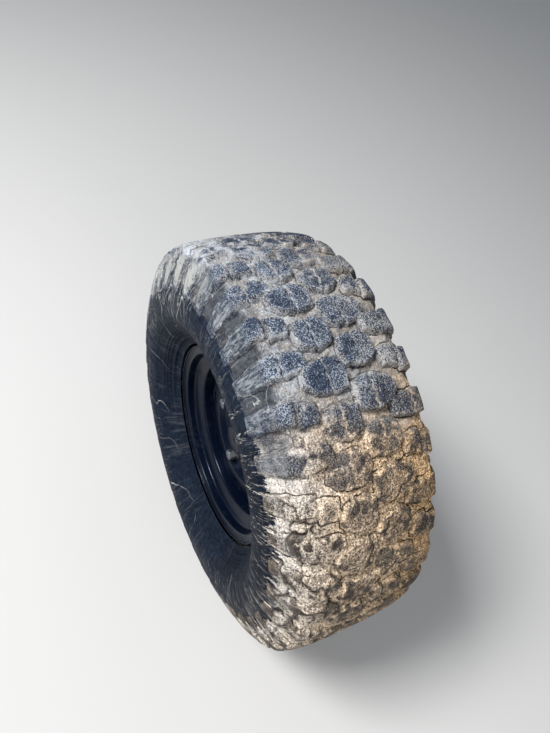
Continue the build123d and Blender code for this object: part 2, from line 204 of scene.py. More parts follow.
# %% Section over the lug tips
# radius and distance from the middle, in millimetres
TIPS = [(329.6, 0), (329.3, 24), (328.4, 47), (327.0, 66), (325.2, 80), (321.6, 94), (308.5, 102.6),
        (293.6, 109.7), (278.7, 115.8), (263.9, 120.6), (249.0, 123.8), (234.1, 125.0), (222.6, 123.8),
        (213.0, 120.0), (204.0, 114.0), (195.0, 106.3), (186.4, 97.3), (177.9, 88.2), (169.0, 84.4)]


def smooth_path(points, step=0.5, soft=5.0):
    """Points along a polyline at even steps, softened by a moving average."""
    p = np.array(points, float)
    run = np.concatenate([[0], np.cumsum(np.hypot(*np.diff(p, axis=0).T))])
    at = np.arange(0, run[-1], step)
    out = np.stack([np.interp(at, run, p[:, k]) for k in (0, 1)], 1)
    half = int(soft / step)
    left = out[1:half + 1][::-1] * [1, -1]
    right = 2 * out[-1] - out[-half - 1:-1][::-1]
    kernel = np.hanning(2 * half + 1)
    padded = np.concatenate([left, out, right])
    return at, np.stack([np.convolve(padded[:, k], kernel / kernel.sum(), "valid") for k in (0, 1)], 1)


run, section = smooth_path(TIPS)
slope = np.gradient(section, axis=0)
outward = np.stack([slope[:, 1], -slope[:, 0]], 1) / np.hypot(*slope.T)[:, None]
print("tread to bead", round(run[-1]), "mm each side")

# %% [markdown]
# ## From the tape measure to space
# The tread is drawn flat, so two small functions carry it back: one gives the place and outward
# direction on the section, the other turns it round the axle and into the CAD's frame.

# %% From across and round to a point
def on_section(across):
    """Radius, axle position and outward direction at millimetres across, negative on the outside."""
    a, side = np.abs(across), np.where(across < 0, -1.0, 1.0)
    r, y, nr, ny = (np.interp(a, run, v) for v in (*section.T, *outward.T))
    return r, y * side, nr, ny * side


def wrapped(across, turn, lift=0.0):
    """Points in metres round the wheel's centre, lifted off the section by millimetres."""
    r, y, nr, ny = on_section(across)
    r, y = r + nr * lift, y + ny * lift
    return np.stack([r * np.cos(turn), y, r * np.sin(turn)], -1) / 1000


print("top of the crown at", wrapped(np.array(0.0), math.pi / 2).round(3))

# %% [markdown]
# ## Lugs from outlines
# The tread repeats every 20 degrees: a long and a short block each side of the middle, and two
# shoulder lugs that wrap down the sidewall. They could be cut by hand, but a drawn outline is
# shorter: the distance to it says how high the rubber stands. Moulded rubber that has been
# worn has no straight edges, so the outlines are wavered a little.

# %% Lug outlines
def mirrored(*half):
    """A closed outline from its half on one side of the lug's middle line."""
    return [*half, *((across, -along) for across, along in half[::-1] if along)]


PITCH = 20  # degrees after which the tread repeats
AROUND = 5.72  # millimetres of tread to a degree
# degrees, and outline across and along from there in millimetres, on the outer half
LUGS = {
    "long": (12.5, mirrored((1, 0), (3, 17), (18, 22), (34, 22), (50, 17), (59, 9), (60, 0))),
    "short": (2.5, mirrored((0, 0), (3, 17), (18, 21), (32, 21), (43, 17), (49, 9), (49, 0))),
    "straight": (17.0, mirrored((48, 10), (62, 14), (84, 16), (128, 15), (158, 12))),
    "set back": (7.0, [(82, -15), (81, 14), (128, 15), (158, 12), (158, -12), (128, -15)]),
    "step": (5.6, [(54, -12), (53, 11), (76, 16), (77, -14)]),
}
INNER_SHIFT = 19.5  # the inner half is turned over: its degrees count back from here
SIPES = {"long": 27.0, "short": 25.0, "straight": 79.0}  # thin cuts, millimetres across
SIPE_DEPTH, SIPE_SWAY = 0.6, 1.5  # share of the lug's height, and millimetres
SIPE_MOUTH, SIPE_FLOOR = -2.0, -0.6  # minus half a sipe's width, at the top and at its floor
FLANK = (-4.6, 0.3)  # a lug's flank runs from outside its outline to just inside
TOP_EDGE = (-1.0, 7.0)  # the dusty edge of a lug's top, counted the same way
repeats = 2 * 360 // PITCH
print((len(LUGS) - 1) * repeats, "lugs and", repeats, "steps round the tyre")


# %% Distance to an outline
def distance_to(outline, u, v):
    """Signed distance to a polygon, negative inside."""
    p = np.stack([u, v], -1)
    corners = np.array(outline, float)
    best, inside = np.full(u.shape, 1e9), np.zeros(u.shape, bool)
    for a, b in zip(corners, np.roll(corners, -1, 0)):
        e, w = b - a, p - a
        t = np.clip((w @ e) / (e @ e), 0, 1)
        best = np.minimum(best, np.linalg.norm(w - t[..., None] * e, axis=-1))
        crosses = (a[1] > v) != (b[1] > v)
        with np.errstate(divide="ignore", invalid="ignore"):
            inside ^= crosses & (u < (b[0] - a[0]) * (v - a[1]) / (b[1] - a[1]) + a[0])
    return np.where(inside, -best, best)


def between(x, low, high):
    """0 at low, 1 at high and straight between."""
    return np.clip((x - low) / (high - low), 0, 1)


def step_up(x, low, high):
    """0 at low, 1 at high and smooth between."""
    t = between(x, low, high)
    return t * t * (3 - 2 * t)


block_middle = distance_to(LUGS["long"][1], np.array([30.0]), np.array([0.0]))
print("a long block's middle is", -block_middle.round(1)[0], "mm inside its outline")

# %% Height of the clean rubber
# millimetres, waves to a pitch, and lean, of the waves that shift an outline across and along
WAVES_ACROSS, WAVES_ALONG = ((0.7, 5, 0.11), (0.45, 9, -0.17)), ((0.7, 4, -0.19), (0.45, 7, 0.31))


def waver(across, degrees, waves):
    """Small shifts of an outline that repeat with the tread."""
    phase = np.radians(degrees * 360 / PITCH)
    return sum(size * np.sin(count * phase + across * lean) for size, count, lean in waves)


def lug_height(across, degrees):
    """Three heights: 0 on a groove's floor and 1 on a lug; the same without sipes; 1 well inside."""
    height, whole, inner = (np.zeros(across.shape) for _ in range(3))
    wave_u, wave_v = waver(across, degrees, WAVES_ACROSS), waver(across, degrees, WAVES_ALONG)
    for side in (-1, 1):
        for name, (at, outline) in LUGS.items():
            middle = at if side < 0 else INNER_SHIFT - at
            off = (degrees - middle + PITCH / 2) % PITCH - PITCH / 2
            u, v = across * side, off * AROUND * -side
            gap = distance_to(outline, u + wave_u, v + wave_v)
            top = between(-gap, *FLANK) ** 1.5
            inner = np.maximum(inner, between(-gap, *TOP_EDGE))
            whole = np.maximum(whole, top)
            if name in SIPES:
                cut = SIPES[name] + SIPE_SWAY * np.sin(v * 0.45)
                top *= 1 - SIPE_DEPTH * step_up(-np.abs(u - cut), SIPE_MOUTH, SIPE_FLOOR)
            height = np.maximum(height, top)
    return height, whole, inner


sample = lug_height(*np.meshgrid(np.arange(-90, 90), np.arange(PITCH)))
print("lugs and steps cover", (sample[0] > 0.9).mean().round(2), "of the tread")

# %% [markdown]
# ## One tree for whatever repeats round the axle
# Tread tiles and nuts all stand in a ring about the same axle. One Geometry Nodes tree does them
# all: it takes a piece drawn at the first place, puts copies round Y, and moves the ring to the
# wheel's centre. Its result is made real and turned into a plain mesh.

# %% Ring tree
def ring_tree():
    """Copies of a piece round Y, made real, welded, moved to the centre and given a finish."""
    tree = bpy.data.node_groups.new("ring about the axle", "GeometryNodeTree")
    sockets = {"Piece": "NodeSocketObject", "Count": "NodeSocketInt", "Turn": "NodeSocketFloat",
               "Centre": "NodeSocketVector", "Weld": "NodeSocketFloat", "Finish": "NodeSocketMaterial"}
    tree.interface.new_socket("Geometry", in_out="OUTPUT", socket_type="NodeSocketGeometry")
    for name, kind in sockets.items():
        tree.interface.new_socket(name, in_out="INPUT", socket_type=kind)
    kinds = ("NodeGroupInput", "NodeGroupOutput", "GeometryNodeMeshLine", "GeometryNodeObjectInfo",
             "GeometryNodeInstanceOnPoints", "GeometryNodeInputIndex", "ShaderNodeMath",
             "ShaderNodeCombineXYZ", "GeometryNodeRealizeInstances", "GeometryNodeMergeByDistance",
             "GeometryNodeTransform", "GeometryNodeSetMaterial")
    given, result, line, piece, place, index, angle, turn, real, weld, move, paint = (
        tree.nodes.new(kind) for kind in kinds)
    line.mode, angle.operation = "OFFSET", "MULTIPLY"
    line.inputs["Offset"].default_value = (0, 0, 0)
    wires = [(given, "Count", line, "Count"), (given, "Piece", piece, "Object"),
             (line, 0, place, "Points"), (piece, "Geometry", place, "Instance"),
             (index, 0, angle, 0), (given, "Turn", angle, 1),
             (angle, 0, turn, "Y"), (turn, 0, place, "Rotation"), (place, 0, real, 0),
             (real, 0, weld, "Geometry"), (given, "Weld", weld, "Distance"), (weld, 0, move, "Geometry"),
             (given, "Centre", move, "Translation"), (move, 0, paint, "Geometry"),
             (given, "Finish", paint, "Material"), (paint, 0, result, 0)]
    for source, out, target, socket in wires:
        tree.links.new(source.outputs[out], target.inputs[socket])
    return tree


RING = ring_tree()
print("ring tree has", len(RING.nodes), "nodes")


# %% A ring as one plain mesh
def plain_mesh(name, carrier):
    """The carrier's evaluated mesh as a new object, the carrier removed."""
    bpy.context.view_layer.update()
    mesh = bpy.data.meshes.new_from_object(carrier.evaluated_get(bpy.context.evaluated_depsgraph_get()))
    bpy.data.objects.remove(carrier)
    mesh.name = name
    return placed(name, mesh)


def ring_of(name, piece, count, material=None, centre=hub_centre, weld=0.0):
    """Copies of a piece, evenly round the axle, as one plain mesh."""
    carrier = placed(name + " ring", bpy.data.meshes.new(name + " ring"))
    ring = carrier.modifiers.new("ring", "NODES")
    ring.node_group = RING
    keys = {s.name: s.identifier for s in RING.interface.items_tree if s.in_out == "INPUT"}
    values = {"Piece": piece, "Count": count, "Turn": -2 * math.pi / count, "Centre": tuple(centre),
              "Weld": weld, "Finish": material}
    for key, value in values.items():
        if value is not None:
            ring[keys[key]] = value
    out = plain_mesh(name, carrier)
    bpy.data.objects.remove(piece)
    return out


print("ring inputs:", [s.name for s in RING.interface.items_tree if s.in_out == "INPUT"])

# %% [markdown]
# ## Meshes from grids
# Tread, sidewall and rim are all grids: rows across, columns round. Building the arrays at once
# is far quicker than adding one face at a time. Values can ride along on the points, and a
# finish reads them later.

# %% Grid meshes
def mesh_object(name, points, quads, smooth=True):
    """An object whose mesh is these points and these quads, four point numbers to a row."""
    mesh = bpy.data.meshes.new(name)
    mesh.vertices.add(len(points))
    mesh.vertices.foreach_set("co", np.asarray(points, np.float32).ravel())
    mesh.loops.add(quads.size)
    mesh.loops.foreach_set("vertex_index", quads.astype(np.int32).ravel())
    mesh.polygons.add(len(quads))
    mesh.polygons.foreach_set("loop_start", np.arange(len(quads), dtype=np.int32) * quads.shape[1])
    mesh.polygons.foreach_set("use_smooth", np.full(len(quads), smooth))
    mesh.update(calc_edges=True)
    return placed(name, mesh)


def grid_quads(rows, columns, closed=False):
    """Quads of a rows by columns grid of points; closed joins the last column to the first."""
    last = columns if closed else columns - 1
    i, j = np.meshgrid(np.arange(rows - 1), np.arange(last), indexing="ij")
    here, beside = i * columns + j, i * columns + (j + 1) % columns
    return np.stack([here, beside, beside + columns, here + columns], -1).reshape(-1, 4)


def told(piece):
    """A piece's name and its triangles, two to a quad."""
    return f"{piece.name}: {len(piece.data.polygons) * 2} triangles"


print("a 3 by 4 grid has", len(grid_quads(3, 4)), "quads")


# %% Reading and writing a mesh's points
def store(mesh, **values):
    """Writes named values on the mesh's points."""
    for name, value in values.items():
        layer = mesh.attributes.new(name, "FLOAT", "POINT")
        layer.data.foreach_set("value", np.asarray(value, np.float32).ravel())


def read(mesh, name):
    """The values of one name, a number for each point."""
    out = np.empty(len(mesh.vertices), np.float32)
    mesh.attributes[name].data.foreach_get("value", out)
    return out.astype(float)


def points_of(mesh, what="co"):
    out = np.empty(len(mesh.vertices) * 3, np.float32)
    mesh.vertices.foreach_get(what, out)
    return out.reshape(-1, 3)


def quads_of(mesh):
    out = np.empty(len(mesh.loops), np.int32)
    mesh.loops.foreach_get("vertex_index", out)
    return out.reshape(-1, 4)


print("helpers for points:", [helper.__name__ for helper in (store, read, points_of, quads_of)])

# %% [markdown]
# ## Tread tile
# A mould for such a tyre is cut from a few segments that repeat, and the tread is built the same
# way: one tile of 20 degrees, then a ring of 18, welded where they meet.

# %% Tread: one tile, then a ring
TREAD_HALF, ROW_STEP, TILE_COLUMNS = 160.0, 1.9, 61  # millimetres across, millimetres, count
WELD = 0.0002  # metres
ACROSS = np.arange(-TREAD_HALF, TREAD_HALF + 0.1, ROW_STEP)
TILE = np.linspace(0, PITCH, TILE_COLUMNS)
across, degrees = np.meshgrid(ACROSS, TILE, indexing="ij")
clean, whole, inner = lug_height(across, degrees)
tile = mesh_object("tread tile", wrapped(across, np.radians(degrees)).reshape(-1, 3),
                   grid_quads(len(ACROSS), len(TILE)))
store(tile.data, across=across, clean=clean, whole=whole, inner=inner)
tread = ring_of("tread", tile, 360 // PITCH, centre=(0, 0, 0), weld=WELD)
print("tread:", len(tread.data.vertices), "points")

# %% [markdown]
# ## Mud
# Mud doesn't repeat, so it goes on after the ring is one mesh. It has lumps of every size. Blender
# has noise textures, but here the numbers are needed on the mesh's points, so a small noise is
# written out: a number for each cell of a lattice, and a smooth blend between them.

# %% Noise for meshes
def lattice(cells, seed):
    """A number from 0 to 1 for each whole-numbered cell, its bits scattered by large factors."""
    n = cells[..., 0] * 374761393 + cells[..., 1] * 668265263
    n = n + cells[..., 2] * 2147483647 + seed * 1274126177
    n = (n ^ (n >> 13)) * 1274126177 & 0xFFFFFFFF
    n = (n ^ (n >> 16)) * 2246822519 & 0xFFFFFFFF
    return ((n ^ (n >> 15)) & 0xFFFFFF) / 0xFFFFFF


def soft_noise(p, size, seed=0, octaves=3):
    """Smooth noise between about -1 and 1; size is the width of its largest lumps."""
    total, share = np.zeros(p.shape[:-1]), 1.0
    for k in range(octaves):
        q = p / size * 2 ** k
        cell = np.floor(q).astype(np.int64)
        f = q - cell
        f = f * f * (3 - 2 * f)
        value = 0
        for corner in np.ndindex(2, 2, 2):
            c = np.array(corner)
            weight = np.prod(np.where(c, f, 1 - f), -1)
            value = value + weight * lattice(cell + c, seed + k)
        total += share * (2 * value - 1)
        share *= 0.5
    return total


print("noise at one point:", round(float(soft_noise(np.array([3.0, 4.0, 5.0]), 10)), 3))

# %% [markdown]
# ## Where the mud lies
# A wheel that has rolled through mud and stopped holds most of it at the rear and bottom, where
# the tread came out last. At the front, spray has dried pale on the outer shoulder. Both could be
# painted by hand. They are windows in the angle round the wheel instead, with ragged ends, so
# four numbers move each of them.

# %% Windows round the wheel
# where mud begins, is full, is still full and ends: degrees from the rear, up and over to the front
CAKED_REAR, SPLASHED_SHOULDER = (300, 330, 46, 72), (100, 122, 165, 200)
SPLASHED_CROWN, SPLASHED_WALL = (92, 118, 165, 195), (100, 120, 165, 195)


def window(degrees, start, full, level, end):
    """Rises from start to full, holds to level, falls to end, in degrees round the wheel."""
    d = (degrees - start) % 360
    rise = step_up(d, 0, (full - start) % 360)
    fall = 1 - step_up(d, (level - start) % 360, (end - start) % 360)
    return rise * fall


def caked(degrees, p):
    """How deep in mud the tyre is, 0 to 1: all of the rear and bottom."""
    ragged = 6 * soft_noise(p, 60, 11) + 2.5 * soft_noise(p, 14, 12)
    return window(degrees + ragged, *CAKED_REAR)


def splashed(degrees, across, p):
    """Pale mud thrown over the outer shoulder at the front, and thinner over the crown."""
    ragged = 5 * soft_noise(p, 50, 13)
    shoulder = window(degrees + ragged, *SPLASHED_SHOULDER) * step_up(-across, 20, 70)
    crown = 0.55 * window(degrees + ragged, *SPLASHED_CROWN) * step_up(-across, -75, -35)
    return np.maximum(shoulder, crown) * step_up(across, -112, -96)


def wall_mud(cake, degrees):
    """How far mud reaches down the sidewall, from little to 1."""
    return np.maximum(cake, 0.8 * window(degrees, *SPLASHED_WALL)) * 0.8 + 0.2


print("caked with mud over", int((window(np.arange(360), *CAKED_REAR) > 0.5).sum()), "degrees")

# %% [markdown]
# ## Height of rubber, height of mud
# Each point gets a height of rubber and a height of mud above the groove's floor, and the higher
# one wins, so lugs come out of the mud where it is thin. The mud could be a second mesh, but the
# two would cut through each other all over the tread.

# %% Rubber worn and chipped
GROOVE, GROOVE_LOST = 13.5, 10.5  # depth of the grooves, and how much of it the sidewall loses
GROOVE_FADES = (96, 156)  # millimetres across
CHIPS, SWELL = 0.6, 0.5  # millimetres
p = points_of(tread.data).astype(float) * 1000
degrees = np.degrees(np.arctan2(p[:, 2], p[:, 0])) % 360
across, clean = read(tread.data, "across"), read(tread.data, "clean")
depth = GROOVE - GROOVE_LOST * step_up(np.abs(across), *GROOVE_FADES)
chips = np.maximum(0, CHIPS * soft_noise(p, 9, 31))
rubber = depth * clean - chips + SWELL * soft_noise(p, 40, 21) * clean
print("grooves", GROOVE, "mm deep, deepest chip", round(float(chips.max()), 1), "mm")

# %% Mud in the grooves, over the lugs, and split where it has dried
# shares of a groove that mud fills: outboard, how much less inward, more where caked or splashed
FILLED, FILLED_LESS, FILLED_CAKED, FILLED_SPLASHED = 0.34, 0.16, 0.28, 0.32
LUMPS, GRIT, SPLIT = 2.2, 1.7, 4.0  # millimetres
cake, splash = caked(degrees, p), splashed(degrees, across, p)
lumps, grit = soft_noise(p, 26, 1, 4), soft_noise(p, 7, 5, 3)
split = step_up(0.11 - np.abs(soft_noise(p, 42, 41, 3)), 0, 0.09)
split = split * step_up(soft_noise(p, 70, 45), -0.3, 0.1) * cake
filled = FILLED - FILLED_LESS * step_up(across, -20, 50) * (1 - cake)
mud = depth * (filled + FILLED_CAKED * cake + FILLED_SPLASHED * splash)
mud = mud + (LUMPS + splash) * lumps + (GRIT + splash) * grit - SPLIT * split
coated = np.maximum(cake, splash)
# a film over the lugs, millimetres below their tops where it is thin and just over them where thick
FILM_BELOW, FILM_THICK = 2.2, 2.4
film = depth * read(tread.data, "whole") - FILM_BELOW + FILM_THICK * coated
film = film + 1.6 * lumps + 1.9 * grit - 3 * split
mud = np.where(coated > 0.05, np.maximum(mud, film), mud)
mud *= step_up(np.abs(across), TREAD_HALF, 132)
muddy = step_up(mud - rubber, -1.0, 0.7)
print("muddy share of the tread", round(float(muddy.mean()), 2))

# %% Move the tread's points
PROUD = 0.4  # millimetres that rubber or mud may stand over the section
height = np.minimum(np.maximum(rubber, mud), depth + PROUD)
skin = wrapped(across, np.radians(degrees), height - depth) + centre_point
tread.data.vertices.foreach_set("co", skin.astype(np.float32).ravel())
store(tread.data, split=split, mud=muddy, cake=cake, lug=clean, wall=wall_mud(cake, degrees))
tread.data.update()
print("highest point over the section", round(float((height - depth).max()), 1), "mm")

# %% [markdown]
# ## Values that the tyre's finish shares
# Nothing on a used tyre is one colour. Noise at six sizes, from a hand's width down to a grain of
# sand, is made once and shared, so dust, crumbs and cracks agree about where they lie. The mesh
# adds what it knows: where mud is thick, where a lug stands and how far in from its edge.

# %% The tyre's finish
ATTRIBUTES = ("mud", "cake", "lug", "inner", "wall", "split")


class TyreFinish(Finish):
    """A finish with the values that the tyre's layers share."""

    def __init__(self, name):
        super().__init__(name, ior=1.20)
        for value in ATTRIBUTES:
            setattr(self, value, self.attribute(value))
        self.r, self.along, self.drawn, self.combed = self.round_axle(0.7, 0.12)
        self.broad, self.patch, self.mid = self.noise(10, 5), self.noise(15, 3), self.noise(38, 5, 0.6)
        self.fine, self.grain = self.noise(130, 4, 0.75), self.noise(380, 2, 0.75)
        self.sand = self.noise(560, 2, 0.85)
        self.spikes = self.noise(60, 4, 0.7, at=self.drawn)
        # where spray has dried, flanks that mud left bare, the outer shoulder, the inner side
        self.front = self.wall.ramp(0.4, 0.8) * self.cake.ramp(0.4, 0.0)
        self.bare = self.r.ramp(0.318, 0.306) * self.cake.ramp(0.55, 0.05)
        self.outer = self.along.ramp(-0.045, -0.105)
        self.inward = (self.along + self.broad * 0.10).ramp(-0.01, 0.15)

    def blend(self, **shares):
        """Several noises added by their shares, as blend(mid=0.4, fine=0.6)."""
        parts = [getattr(self, name) * share for name, share in shares.items()]
        return sum(parts[1:], parts[0])

    def over_tread(self, shoulder, crown, inboard):
        """A colour that goes from the outer shoulder over the crown to the inner side."""
        return self.mix(self.outer, self.mix(self.inward, crown, inboard), shoulder)


print("the tyre's finish reads", *ATTRIBUTES, "off the mesh")

# %% [markdown]
# ## The mud's torn edge
# Mud on a sidewall doesn't end in a line. It was flung outward, so it ends in short spikes and
# thin bristles that point to the axle. A noise read through coordinates that are squeezed toward
# the axle draws both, and it costs no mesh.

# %% Torn edge
EDGE_R = 0.269  # metres from the axle where thin mud ends
EDGE_CAKED, EDGE_SWAY = 0.012, 0.04  # metres that the edge moves where caked, and wanders
SPIKE, BRISTLE, FRINGE = 0.022, 0.06, 0.012  # metres that they reach past the edge


def torn_edge(f):
    """1 where mud may lie on the sidewall, and the pale fringe along its edge."""
    bristles = f.noise(150, 2, 0.5, at=f.combed, distort=1.5)
    edge = EDGE_R + f.cake * EDGE_CAKED + (f.broad - 0.5) * EDGE_SWAY
    short = f.spikes.ramp(0.45, 0.75) * SPIKE
    long = bristles.ramp(0.57, 0.63) * f.spikes.ramp(0.35, 0.65) * BRISTLE
    torn = (f.r - edge + f.wall * (short + long)).ramp(0.0, 0.0012)
    fringe = torn * (edge + FRINGE - f.r).ramp(-FRINGE, 0.0)
    return torn, fringe


def mud_cover(f, torn):
    """Where mud hides rubber: thick on the mesh, splashed on the flanks, lapped over lug edges."""
    flanks = torn * f.r.ramp(0.310, 0.285) * f.cake * f.blend(mid=0.4, fine=0.6).ramp(0.34, 0.44)
    lapped = (f.blend(mid=0.55, patch=0.75, fine=0.2) - f.inner * 0.10).ramp(0.80, 0.84)
    lapped = lapped * f.lug.ramp(0.05, 0.3) * (1 - f.cake)
    cover = f.mud.most(flanks * (1 - 0.5 * f.inner)).most(lapped * 0.85)
    return cover * torn * (1 - f.bare * 0.85)


print("mud reaches", round((tyre_r - EDGE_R) * 1000), "mm down from the tread, bristles further")

# %% [markdown]
# ## Threads
# Stalks and thin roots stick to wet rubber and dry as pale threads. A line where a noise
# passes one value is such a thread: it wanders, never crosses itself and needs no curve object.

# %% Threads on the sidewall
THREADS_IN, THREADS_OUT = (0.18, 0.21), (0.314, 0.304)  # metres from the axle: none, all


def contour(noise, thin, wide):
    """A thin line where a noise passes through its middle."""
    return 1 - (noise - 0.5).size().ramp(thin, wide)


def threads(f):
    """Flung threads anywhere, drawn ones near the mud, and nested loops at the front."""
    flung = contour(f.noise(6, 2.5, 0.5, distort=0.5), 0.0004, 0.0026)
    flung = flung * (f.patch + f.wall * 0.10).ramp(0.48, 0.54)
    hair = contour(f.noise(26, 2, 0.5, at=f.drawn, distort=0.8), 0.002, 0.008)
    hair = hair * f.patch.ramp(0.56, 0.48).most(f.front) * (f.r - 0.205).ramp(0.0, 0.03)
    loops = (f.noise(11, 1, 0.4, at=f.drawn, distort=0.7) * 7).fraction() - 0.5
    vine = loops.size().ramp(0.08, 0.02) * f.front * f.patch.ramp(0.40, 0.50)
    vine = vine * (f.r - 0.215).ramp(0.0, 0.03)
    on_wall = f.r.ramp(*THREADS_IN) * f.r.ramp(*THREADS_OUT)
    return flung.most(hair).most(vine) * on_wall * f.fine.ramp(0.36, 0.46)


print("threads lie", THREADS_IN[0], "to", THREADS_OUT[0], "m from the axle")

# %% [markdown]
# ## Dried mud
# Dried mud is a base colour with much laid over it: shade in its hollows, dry light crumbs, dark
# pits where grains fell out. It is pale at the outer shoulder, tan on the crown and brown inward.
# Where a lug lies just under it, dark grains of rubber show through. Dark lines along the lug feet are
# painted shade, and the dried mud has real splits.
# One long ramp of colours could fake this, but coats laid over one another, each by its own
# noise, can be changed one at a time.

# %% Colour of dried mud
# on the outer shoulder, on the crown and on the inner side
THICK_MUD = (0.82, 0.71, 0.61), (0.90, 0.65, 0.42), (0.55, 0.335, 0.155)
DRY_MUD = (0.87, 0.785, 0.69), (1.0, 0.81, 0.58), (0.80, 0.54, 0.28)
# on the crown and on the inner side, then thrown up at the front, painted shade in hollows, and in
# streaks
THIN_MUD = (0.272, 0.294, 0.325), (0.28, 0.25, 0.215)
SPRAY, HOLLOW_SHADE, STREAK = (0.39, 0.44, 0.51), (0.12, 0.095, 0.075), (0.80, 0.76, 0.71)


def mud_ground(f):
    """The mud's main colours, before grains."""
    base, light = f.over_tread(*THICK_MUD), f.over_tread(*DRY_MUD)
    thin = f.mix(f.inward, *THIN_MUD)
    sprayed = f.wall.ramp(0.3, 0.8) * f.outer.most(0.45 * (1 - f.inward))
    thin = f.mix(sprayed, thin, SPRAY)
    smear = f.noise(70, 4, 0.7, at=f.drawn).ramp(0.42, 0.62) * f.fine.ramp(0.35, 0.55)
    smear = smear * (1 - f.cake) * f.outer
    streak = f.noise(110, 4, 0.7, at=f.combed, distort=0.8).ramp(0.46, 0.60)
    streak = streak * f.r.ramp(0.312, 0.288) * f.cake
    dry = f.blend(fine=0.7, mid=0.3).ramp(0.47, 0.61) * (0.45 + f.cake * 0.25)
    return f.coats(f.mix(f.cake, thin, base),
                   # painted shade, laid where a noise is low
                   (f.mid.ramp(0.57, 0.40) * 0.55, HOLLOW_SHADE),
                   # outside the caked zone the dry crumbs are blue-grey: grey mud with painted skylight
                   # in it
                   (dry, f.mix(f.cake, (0.345, 0.375, 0.43), light)),
                   (smear * 0.5, f.mix(f.wall.ramp(0.3, 0.8), (0.12, 0.14, 0.17), (0.58, 0.61, 0.66))),
                   (streak * 0.8, STREAK))


print("thick mud from the outer to the inner side:", *THICK_MUD)

# %% Grains, pits, splits and painted shade at the lug feet
CRUMB, DRY_CRUMB = ((0.97, 0.85, 0.71), (0.76, 0.56, 0.35)), ((0.86, 0.80, 0.72), (0.70, 0.54, 0.34))
# the last colour darkens both the splits in the dried mud and the painted shade along the lug feet
BURIED_RUBBER, PIT, CRACK_AND_CREVICE_SHADE = (0.135, 0.102, 0.088), (0.030, 0.024, 0.022), (0.022, 0.016, 0.013)


def crevice_shade_and_cracks(f):
    """Painted shade in broken lines along the feet of the lugs, heavier on the inner side, and the
    splits that the mesh holds.
    """
    flank = f.lug * (1.0 + (f.mid - 0.5) * 4)
    foot = flank.ramp(0.01, 0.10) * flank.ramp(0.42, 0.2)
    foot = foot * f.blend(broad=0.4, mid=0.3, fine=0.3).ramp(0.475, 0.52)
    # the foot lines are painted shade, heavier on the inner side; the splits are real
    return (foot * (0.5 + f.inward.most(f.cake) * 0.5)).most(f.split)


def dried_mud(f, fringe, shade_and_cracks):
    """Colour of the mud with its crumbs, pits, buried lugs, splits and painted shade at the lug feet."""
    pits = (f.grain - f.inner * 0.02).ramp(0.435, 0.39) * (0.30 + f.cake * 0.60)
    buried = f.inner.ramp(0.25, 0.9) * f.cake
    worn = f.blend(mid=0.5, broad=0.5).ramp(0.40, 0.56)
    speck = f.blend(fine=0.25, sand=0.75).ramp(0.505, 0.45)
    speck = speck * (0.30 + worn * 0.65) * (1 - f.outer * 0.5)
    return f.coats(mud_ground(f),
                   (fringe * f.wall * f.blend(mid=0.5, fine=0.5).ramp(0.40, 0.54), (0.76, 0.73, 0.69)),
                   (f.sand.ramp(0.45, 0.37) * (0.40 + f.cake * (0.25 + f.outer * 0.15)),
                    (0.09, 0.075, 0.065)),
                   (f.grain.ramp(0.54, 0.61) * (0.25 + f.cake * 0.50), f.mix(f.inward, *CRUMB)),
                   (pits, PIT),
                   (f.sand.ramp(0.59, 0.66) * (0.25 + f.cake * 0.45), f.mix(f.inward, *DRY_CRUMB)),
                   (buried * worn * (0.60 - f.outer * 0.45), BURIED_RUBBER),
                   (buried * speck, (0.040, 0.033, 0.033)),
                   (shade_and_cracks * 0.95, CRACK_AND_CREVICE_SHADE))


print("a crack is", round(CRUMB[0][0] / CRACK_AND_CREVICE_SHADE[0]), "times darker than a crumb")

# %% [markdown]
# ## Dusty rubber
# Under the mud the rubber is navy black. Dust clings to a lug's edges and leaves its middle dark,
# fills the sipes outside the caked mud, and lies as pale pointed fingers on the shoulder lugs at the
# front, where wet mud ran down and dried. Where caked, the sipes are painted dark as shade in the narrow
# cuts.
# A painted picture would blur close up, so each is a noise cut at a level.

# %% Colour of dusty rubber
RUBBER, LUG_RUBBER = ((0.002, 0.005, 0.013), (0.009, 0.017, 0.034)), (0.028, 0.042, 0.074)
# the first dust colour is grey dust tinted blue, and the blue is painted skylight
SKY_TINTED_DUST, BEIGE_DUST, CAKED_DUST = (0.345, 0.385, 0.45), (0.375, 0.355, 0.33), (0.47, 0.38, 0.29)


def dust_on_lugs(f):
    """How much dust a lug's top holds: more at its edges, and more in some places than others."""
    wiped = f.inner * f.blend(broad=0.5, mid=0.5).ramp(0.40, 0.60) * 0.16
    held = f.blend(fine=0.15, sand=1.05, mid=0.38, patch=0.32) - wiped
    return held.ramp(0.865, 1.04) * f.lug.ramp(0.15, 0.6) * (1 - f.bare * 0.6) * (1 - f.cake * 0.4)


def fingers_on_flanks(f):
    """Pale fingers down the flanks of the shoulder lugs, and their colour."""
    ends = (f.spikes - 0.5) * f.front * 2.4 - (0.290 - f.r).most(0.0) * 35
    finger = (f.inner + ends).ramp(-0.1, 0.3) * f.bare * f.blend(mid=0.5, fine=0.5).ramp(0.36, 0.50)
    combed = f.noise(85, 4, 0.75, at=f.drawn) * 0.7 + f.fine * 0.3
    dull = f.mix(combed.ramp(0.44, 0.58), (0.030, 0.040, 0.055), (0.235, 0.255, 0.275))
    return finger, f.mix(f.wall.ramp(0.25, 0.7), dull, (0.37, 0.375, 0.365))


